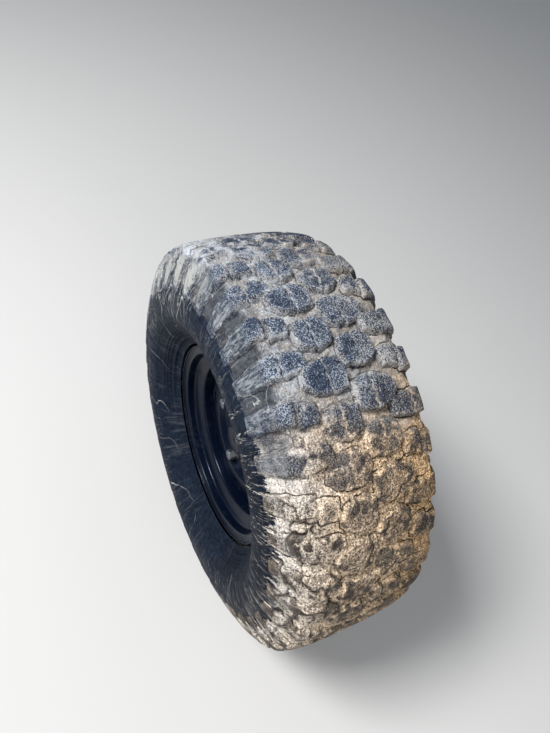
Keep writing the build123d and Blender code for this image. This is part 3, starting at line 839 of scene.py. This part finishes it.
def dusty_rubber(f):
    """Colour of the rubber with its dust, dusty sipes that are painted dark as shade where caked,
    fingers and threads.
    """
    scuff = f.noise(34, 4, 0.7, at=f.drawn).ramp(0.50, 0.68)
    scuff = scuff * f.broad.ramp(0.40, 0.58) * (1 - f.lug)
    beige = f.inward.most(f.inner.ramp(0.7, 0.1) * 0.7)
    dust = f.mix(f.cake, f.mix(beige, SKY_TINTED_DUST, BEIGE_DUST), CAKED_DUST)
    # sipes: pale with dust outside the caked mud; where caked, dark as painted shade in the cut
    sipe_dust_and_shade = f.lug.ramp(0.84, 0.55) * f.inner.ramp(0.1, 0.25)
    finger, finger_colour = fingers_on_flanks(f)
    return f.coats(f.mix(f.fine.ramp(0.35, 0.7), *RUBBER),
                   (f.lug * f.fine.ramp(0.25, 0.65), LUG_RUBBER),
                   (scuff * 0.35, (0.12, 0.13, 0.14)),
                   (f.cake * f.lug, (0.045, 0.038, 0.035)),
                   (dust_on_lugs(f) * 0.92, dust),
                   (sipe_dust_and_shade * 0.8, f.mix(f.cake, (0.42, 0.45, 0.49), (0.04, 0.035, 0.03))),
                   (finger * 0.85, finger_colour),
                   (threads(f) * 0.65, (0.50, 0.50, 0.49)))


print("dust is", round(SKY_TINTED_DUST[0] / LUG_RUBBER[0]), "times lighter than a lug")

# %% Muddy rubber
def muddy_rubber():
    """Rubber with its dust, and mud over it wherever the mesh and the noises put some."""
    f = TyreFinish("muddy rubber")
    torn, fringe = torn_edge(f)
    cover, shade_and_cracks = mud_cover(f, torn), crevice_shade_and_cracks(f)
    relief = f.blend(mid=0.5, fine=0.5) + f.sand * (0.25 + f.cake * 0.3)
    relief = relief + f.grain.ramp(0.34, 0.60) * f.cake * 0.34 - shade_and_cracks * 0.8
    f.set(Base_Color=f.mix(cover, dusty_rubber(f), dried_mud(f, fringe, shade_and_cracks)),
          Roughness=0.60 + cover * 0.33,
          Normal=f.bump(relief, 0.005))
    return f.material


rubber_finish = muddy_rubber()
print("muddy rubber has", len(rubber_finish.node_tree.nodes), "nodes")

# %% [markdown]
# ## Three bands
# The tread is one mesh until here, so that noise and shading run on across it. It is then split
# into an outer, a crown and an inner band, which keeps each piece light enough to edit, and each
# band keeps the whole mesh's normals, so the joins don't show.

# %% Tread in three bands
CROWN = 50  # millimetres across, each side, that the middle band covers


def strip(name, whole, normals, keep):
    """Part of a mesh as its own piece, shaded as the whole was."""
    used, quads = np.unique(quads_of(whole.data)[keep], return_inverse=True)
    out = mesh_object(name, points_of(whole.data)[used], quads.reshape(-1, 4))
    store(out.data, **{a: read(whole.data, a)[used] for a in ATTRIBUTES})
    out.data.normals_split_custom_set_from_vertices(normals[used])
    out.data.materials.append(rubber_finish)
    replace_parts(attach(out, "wheel"), "tyre")
    return out


normals = points_of(tread.data, "normal")
middle = across[quads_of(tread.data)].mean(1)
bands = {"tread_outer": middle < -CROWN, "tread_crown": np.abs(middle) <= CROWN,
         "tread_inner": middle > CROWN}
for name, keep in bands.items():
    print(told(strip(name, tread, normals, keep)))
bpy.data.objects.remove(tread)

# %% [markdown]
# ## Sidewalls
# Below the lugs the tyre is smooth, so a coarser grid will do. It carries the raised rings that
# every sidewall has: a rib that guards the rim and fine moulding lines near the bead. The rings
# are bumps in the grid's height, so they stay part of the wall and need no joining.

# %% Sidewalls
# across, height and half width of each ring, in millimetres
RIBS = [(253, 2.6, 2.2), (244, 1.2, 1.0), (238, 1.2, 1.0), (232, 1.0, 1.0), (214, 0.7, 1.0),
        (178, 0.7, 1.2)]
WALL_TOP, TUCKED = 159.0, 162.0  # the wall starts here, and above this it is tucked under the lugs
TUCK, SINK, WAVE = -3.0, 0.8, 0.35  # how far it is tucked, sunk below the lug tips, and wavy


def sidewall_rows():
    """Millimetres across of the grid's rows: even, and closer over each ring."""
    even = [np.arange(WALL_TOP, run[-1], 4.0), [run[-1]]]
    close = [[at + k * w for k in (-2, -1, 0, 1, 2)] for at, _, w in RIBS]
    return np.unique(np.concatenate(even + close))


def sidewall(name, side, columns=540):
    """One sidewall, side -1 for the outer one, with its rings and its share of the mud."""
    rows = sidewall_rows()
    a, turn = np.meshgrid(rows * side, np.radians(np.arange(columns) * 360 / columns), indexing="ij")
    rib = sum(h * np.exp(-((np.abs(a) - at) / w) ** 2) for at, h, w in RIBS)
    flat = wrapped(a, turn) * 1000
    lift = np.where(np.abs(a) < TUCKED, TUCK, rib - SINK + WAVE * soft_noise(flat, 35, 9))
    skin = wrapped(a, turn, lift).reshape(-1, 3) + centre_point
    quads = grid_quads(len(rows), columns, closed=True)
    out = mesh_object(name, skin, quads if side > 0 else quads[:, ::-1])
    none, degrees = np.zeros(len(skin)), np.degrees(turn).ravel() % 360
    cake = caked(degrees, flat.reshape(-1, 3))
    store(out.data, mud=none, cake=cake, lug=none, inner=none, wall=wall_mud(cake, degrees), split=none)
    out.data.materials.append(rubber_finish)
    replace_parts(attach(out, "wheel"), "tyre")
    return out


for name, side in (("sidewall_outer", -1), ("sidewall_inner", 1)):
    print(told(sidewall(name, side)))

# %% [markdown]
# ## Steel wheel
# The rim is rolled from one strip, with a curled edge that holds the bead, and the centre is
# pressed and welded in its well. Both are round, so both are closed outlines spun round the axle,
# with the corners rounded as rolling and pressing leave them.

# %% Spun pieces
def rounded(points, radius, steps=5):
    """Closed outline with its corners cut back and rounded by a curve through each corner."""
    p = np.array(points, float)
    out = []
    for before, here, after in zip(np.roll(p, 1, 0), p, np.roll(p, -1, 0)):
        a, b = before - here, after - here
        if abs(a[0] * b[1] - a[1] * b[0]) < 1e-6:
            out.append(here)
            continue
        reach = min(radius, 0.45 * np.linalg.norm(a), 0.45 * np.linalg.norm(b))
        a, b = here + a / np.linalg.norm(a) * reach, here + b / np.linalg.norm(b) * reach
        for t in np.linspace(0, 1, steps):
            out.append((1 - t) ** 2 * a + 2 * t * (1 - t) * here + t * t * b)
    return np.array(out)


POINT_R = 0.01  # millimetres; a spun piece that is closed at the axle ends in this radius


def spun(name, outline, columns):
    """A closed (radius, along) outline in millimetres, spun round the axle."""
    turn = np.arange(columns) * 2 * math.pi / columns
    r, y = np.array(outline).T[:, :, None]
    skin = np.stack([r * np.cos(turn), y + 0 * turn, r * np.sin(turn)], -1).reshape(-1, 3) / 1000
    rows = len(outline)
    quads = grid_quads(rows + 1, columns, closed=True) % (rows * columns)
    return mesh_object(name, skin + centre_point, quads)


def dress(out, node, finish):
    """Gives a turning piece its finish, hangs it on the wheel and hides the CAD piece it replaces."""
    out.data.materials.clear()
    out.data.materials.append(finish)
    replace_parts(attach(out, "wheel"), node)
    return out


square = [(0, 0), (0, 10), (10, 10), (10, 0)]
print("a square with round corners has", len(rounded(square, 2.0)), "points")

# %% [markdown]
# ## Wheel paint
# The wheel is painted black and its gloss is nearly gone. Under an open sky such paint looks blue
# black, because all it shows is the sky, so the reflection is tinted and kept weak. Black
# without it would look like coal. Dust lies in soft patches, and knocks have scuffed the curl.

# %% Wheel paint
SCUFFED_R = 0.163  # metres from the axle, on the flange's curl


def wheel_paint():
    """Dull black paint with soft patches of dust, scuffed on the flange."""
    f = Finish("black wheel paint", ior=1.24)
    r, _, drawn = f.round_axle(0.7)
    dust, fine, sand = f.noise(14, 5, 0.6), f.noise(110, 4, 0.7), f.noise(520, 2, 0.8)
    film = (dust * 0.6 + fine * 0.4).ramp(0.52, 0.70) * 0.25 + sand.ramp(0.66, 0.74) * 0.15
    scuff = f.noise(60, 3, 0.6, at=drawn).ramp(0.68, 0.72) * (r - SCUFFED_R).ramp(0, 0.002)
    # the black base colour leans blue: painted sky reflection, besides the tinted specular below
    paint = f.mix(film, (0.0010, 0.0027, 0.009), (0.025, 0.032, 0.045))
    f.put(f.surface.inputs["Specular Tint"], (0.58, 0.75, 1.0, 1.0))
    f.set(Base_Color=f.mix(scuff * 0.7, paint, (0.25, 0.26, 0.28)),
          Roughness=0.26 + film * 1.2 + fine * 0.08,
          Coat_Weight=0.07 - film * 0.25,
          Normal=f.bump(dust * 0.2 + fine * 0.15 + film, 0.0012))
    return f.material


paint = wheel_paint()
print("wheel paint has", len(paint.node_tree.nodes), "nodes")

# %% [markdown]
# ## Rim barrel
# The deep well in the middle is what lets a tyre be fitted: one bead drops into it while the
# other climbs over the flange. The outline follows the sheet from flange to seat to well and
# back, so the wall is as thick as the real one's all along.

# %% Rim barrel
FLANGE, SEAT, WELL, SHEET = 166.0, 152.4, 128.5, 2.5  # radii and sheet, millimetres
HEEL, LIP = 76.2, 81.7  # bead heel and edge of the curl, along the axle
RIM = [(FLANGE - SHEET, -LIP), (FLANGE, -LIP), (FLANGE, -HEEL), (SEAT, -HEEL), (SEAT, -62.2),
       (WELL, -54), (WELL, -21), (SEAT, -4), (SEAT, HEEL), (FLANGE, HEEL), (FLANGE, LIP),
       (FLANGE - SHEET, LIP), (FLANGE - SHEET, HEEL + SHEET), (SEAT - SHEET, HEEL + SHEET),
       (SEAT - SHEET, -3.2), (WELL - SHEET, -19.8), (WELL - SHEET, -55.2), (SEAT - SHEET, -63.0),
       (SEAT - SHEET, -HEEL - SHEET), (FLANGE - SHEET, -HEEL - SHEET)]
rim = dress(spun("rim", rounded(RIM, radius=4.0), columns=220), "rim_barrel", paint)
print(told(rim))

# %% [markdown]
# ## Pressed centre
# The centre is one sheet pressed into a raised ring, which makes it stiff, and pierced with slots
# outside the ring. It is the same spun grid as the rim, on whole degrees, with the slots left out
# and walled in. A boolean would do it too, but would leave a rough edge to shade.

# %% Wheel disc
FACE_Y, BACK_Y = -37.0, -33.0  # the slotted face and its back, along the axle
SLOT_IN, SLOT_OUT = 109.0, 120.7  # the slots' radii
HOLE_R, SKIRT_R, SKIRT_IN = 27.8, 125.7, 121.7
DISC = [(HOLE_R, -30), (79, -30), (87, -42), (103, -42), (108, FACE_Y), (SLOT_IN, FACE_Y),
        (SLOT_OUT, FACE_Y), (SKIRT_R, FACE_Y), (SKIRT_R, -23), (SKIRT_IN, -23), (SKIRT_IN, BACK_Y),
        (SLOT_OUT, BACK_Y), (SLOT_IN, BACK_Y), (106, BACK_Y), (101, -38), (89, -38), (81, -26),
        (HOLE_R, -26)]
SLOT_FROM, SLOT_TO, SLOT_EVERY = 12, 23, 45  # degrees of the first slot, and to the next one
SLOTS = [(SLOT_FROM + turn, SLOT_TO + turn) for turn in range(0, 360, SLOT_EVERY)]


def spot(row, degree):
    """Number of a point of the grid, which has one column to a degree."""
    return row * 360 + degree % 360


def slot_walls(rows, first, last):
    """Quads that join the face to the back round one slot; rows are the grid rows at its corners."""
    face_in, face_out, back_out, back_in = rows
    walls = []
    for k in range(first, last):
        for near, far in ((face_in, back_in), (back_out, face_out)):
            walls.append([spot(near, k), spot(near, k + 1), spot(far, k + 1), spot(far, k)])
    for degree, order in ((first, 1), (last, -1)):
        walls.append([spot(row, degree) for row in rows][::order])
    return walls


def slotted(name, outline):
    """A spun sheet on a grid of whole degrees, with its slots cut through and walled."""
    rows = rounded(outline, radius=3.5, steps=4)
    whole = spun(name + " whole", rows, columns=360)
    points, quads = points_of(whole.data), quads_of(whole.data)
    bpy.data.objects.remove(whole)
    corners = ((SLOT_IN, FACE_Y), (SLOT_OUT, FACE_Y), (SLOT_OUT, BACK_Y), (SLOT_IN, BACK_Y))
    at = [int(np.argmin(np.hypot(*(rows - corner).T))) for corner in corners]
    row, degree = quads[:, 0] // 360, quads[:, 0] % 360
    sheet = (row == at[0]) | (row == at[2])
    cut, walls = np.zeros(len(quads), bool), []
    for first, last in SLOTS:
        cut |= sheet & ((degree - first) % 360 < last - first)
        walls += slot_walls(at, first, last)
    return mesh_object(name, points, np.concatenate([quads[~cut], np.array(walls)]))


disc = dress(slotted("disc", DISC), "wheel_disc", paint)
print(told(disc), "and", len(SLOTS), "slots")

# %% [markdown]
# ## Bare and plated metal
# Nuts, bolts, hub and brake are bare, plated or cast. They differ in colour and polish, but all
# dull in patches and hold dirt in their hollows, so one function makes them all. With the metal
# turned down it also makes the brake lining and the valve's rubber.

# %% Metal finishes
def metal(name, bright, dull, dirt, metallic=1.0, rough=0.35, grime=0.5):
    """A bare or plated metal, dulled in patches, with dirt lying in the hollows."""
    f = Finish(name, metallic=metallic)
    broad, fine, sand = f.noise(24, 5, 0.6), f.noise(160, 4, 0.7), f.noise(600, 2, 0.8)
    worn = f.mix(fine.ramp(0.35, 0.65), bright, dull)
    cover = (broad * 0.6 + fine * 0.4).ramp(0.5, 0.62) * grime
    f.set(Base_Color=f.mix(cover, worn, dirt),
          Metallic=metallic * (1 - cover),
          Roughness=rough + fine * 0.15 + cover * 0.35,
          Normal=f.bump(fine * 0.4 + sand * 0.3 + cover * 0.5, 0.0006))
    return f.material


plated = metal("zinc plate", (0.44, 0.46, 0.49), (0.27, 0.28, 0.30), (0.15, 0.13, 0.11))
# this chrome's colours are lightened and tinted blue: painted sky reflection
dull_chrome = metal("dulled chrome", (0.27, 0.30, 0.34), (0.13, 0.145, 0.165), (0.14, 0.135, 0.13),
                    rough=0.28, grime=0.4)
turned = metal("machined steel", (0.46, 0.45, 0.44), (0.30, 0.28, 0.26), (0.16, 0.085, 0.045),
               rough=0.3, grime=0.6)
disc_face = metal("swept brake face", (0.60, 0.60, 0.60), (0.42, 0.41, 0.40), (0.17, 0.10, 0.06),
                  rough=0.25, grime=0.25)
cast = metal("cast iron", (0.055, 0.056, 0.060), (0.032, 0.032, 0.034), (0.19, 0.16, 0.13),
             metallic=0.3, rough=0.6, grime=0.7)
cast_alloy = metal("cast alloy", (0.36, 0.36, 0.36), (0.26, 0.26, 0.265), (0.19, 0.16, 0.13),
                   metallic=0.9, rough=0.5, grime=0.6)
pad = metal("brake lining", (0.07, 0.062, 0.055), (0.045, 0.04, 0.036), (0.15, 0.12, 0.09),
            metallic=0.1, rough=0.75, grime=0.4)
stem_rubber = metal("valve rubber", (0.02, 0.021, 0.023), (0.03, 0.031, 0.034), (0.22, 0.2, 0.18),
                    metallic=0.0, rough=0.6)
print("finishes:", len(bpy.data.materials))

# %% [markdown]
# ## Nuts
# Four closed nuts hold the wheel on. Each is a hexagon with its top corners turned off and a round
# foot, so it is a stack of rings that go from circle to hexagon and back. One nut is drawn at its
# first place and the ring tree copies it.

# %% Lug nuts
NUTS, BOLT_R, FIRST_NUT = 4, 68.5, -5.0  # count, millimetres from the axle, degrees
NUT_SEAT, NUT_TOP = -30.0, -48.0  # along the axle
NUT_R, FOOT_R = 9.8, 10.3  # over the corners, and of the round foot


def nut(columns=48):
    """A closed nut standing out along -Y at the first stud, as rings of (along, radius)."""
    turn = np.arange(columns) * 2 * math.pi / columns
    hexagon = NUT_R * math.cos(math.pi / 6) / np.cos((turn % (math.pi / 3)) - math.pi / 6)
    circle = np.ones(columns)
    stack = [(NUT_SEAT, FOOT_R * circle), (NUT_SEAT - 2.1, FOOT_R * circle),
             (NUT_SEAT - 2.5, np.minimum(hexagon, 9.9)), (NUT_SEAT - 2.6, hexagon),
             (NUT_TOP + 2.2, np.minimum(hexagon, 9.75)), (NUT_TOP + 0.8, np.minimum(hexagon, 8.7)),
             (NUT_TOP + 0.5, 7.6 * circle), (NUT_TOP + 0.15, 5.0 * circle), (NUT_TOP, POINT_R * circle)]
    rings = [np.stack([r * np.cos(turn), np.full(columns, y), r * np.sin(turn)], -1) for y, r in stack]
    home = np.radians(FIRST_NUT)
    skin = np.concatenate(rings) + [BOLT_R * math.cos(home), 0, BOLT_R * math.sin(home)]
    return mesh_object("nut", skin / 1000, grid_quads(len(stack), columns, closed=True), smooth=False)


nuts = dress(ring_of("nuts", nut(), NUTS, dull_chrome), "lug_nuts", dull_chrome)
print(told(nuts))

# %% [markdown]
# ## Dust cap
# A pressed cap keeps dirt out of the hub's bearing nut. It is a shallow cup with a small step, and
# painted. A cylinder with a bevel would be close, but the step is what the eye finds, so it is an
# outline spun like the rim.

# %% Dust cap
NOSE_R, CAP_R, CAP_WALL = 23.6, 29.3, 1.7
CAP = [(POINT_R, -52), (NOSE_R, -52), (NOSE_R, -48), (CAP_R, -48), (CAP_R, -35),
       (CAP_R - CAP_WALL, -35), (CAP_R - CAP_WALL, -46), (POINT_R, -46)]
cap = dress(spun("cap", rounded(CAP, radius=1.6), columns=96), "centre_cap", paint)
print(told(cap))

# %% [markdown]
# ## Pieces that keep their CAD shape
# The hub, brake and knuckle sit behind the wheel, and their CAD solids are already true to the
# forging, casting or turning. They only need a finish, so nothing is modelled twice.

# %% Finishes for the pieces that keep their CAD shape
FINISH_OF = {"wheel_studs": plated, "disc_bolts": plated, "caliper_bolts": plated,
             "valve_stem": stem_rubber, "valve_cap": stem_rubber, "hub": turned,
             "wheel_bearing": turned, "brake_disc": disc_face, "knuckle": cast,
             "caliper_body": cast_alloy, "brake_pads": pad}
for name, finish in FINISH_OF.items():
    nodes[name].data.materials.clear()
    nodes[name].data.materials.append(finish)
print("dressed", len(FINISH_OF), "pieces")

# %% [markdown]
# ## Floor
# The wheel end stands over a plain pale floor, with the tyre a millimetre off it, so that nothing
# in the picture takes the eye from the tread. A curved backdrop would hide the horizon, but the
# camera looks down and hardly sees it.

# %% Floor
def floor_finish():
    f = Finish("pale floor")
    f.set(Base_Color=(0.50, 0.50, 0.50), Roughness=0.9)
    return f.material


FLOOR_SIZE, FLOOR_GAP = 12, 0.001
floor_z = hub_centre.z - tyre_r - FLOOR_GAP
bpy.ops.mesh.primitive_plane_add(size=FLOOR_SIZE, location=(hub_centre.x, hub_centre.y, floor_z))
floor = bpy.context.object
floor.name = "floor"
floor.data.materials.append(floor_finish())
print("floor at", round(floor_z, 4))

# %% [markdown]
# ## Light
# On a bright day the sky is one large lamp. One soft lamp stands in for it above the camera's
# left, where it rakes over the lugs and throws their shadows into the grooves, and a weaker one
# fills the shade from the rear. A picture of a sky would light it too, but lamps can be aimed.

# %% Lamps and world
def lamp(name, place, size, power, colour):
    """A square lamp that looks at the wheel's centre."""
    light = bpy.data.lights.new(name, "AREA")
    light.size, light.energy, light.color = size, power, colour
    out = placed(name, light)
    out.location = place
    out.rotation_euler = (hub_centre - Vector(place)).to_track_quat("-Z", "Y").to_euler()


lamp("sky", place=(-0.5, -1.7, 2.6), size=0.9, power=150, colour=(1.0, 0.99, 0.97))
lamp("fill", place=(2.2, -0.6, 1.0), size=1.6, power=27, colour=(1.0, 0.97, 0.93))
world = bpy.data.worlds.new("soft sky")
bpy.context.scene.world = world
world.use_nodes = True
background = world.node_tree.nodes["Background"]
background.inputs["Color"].default_value = (0.86, 0.92, 1.0, 1)
background.inputs["Strength"].default_value = 0.32
bpy.context.scene.view_settings.view_transform = "Standard"
print("lamps:", [light.name for light in bpy.data.lights])

# %% [markdown]
# ## Sizes
# The dressed wheel end has to stay inside the CAD's box, or it would clash where the CAD clears.
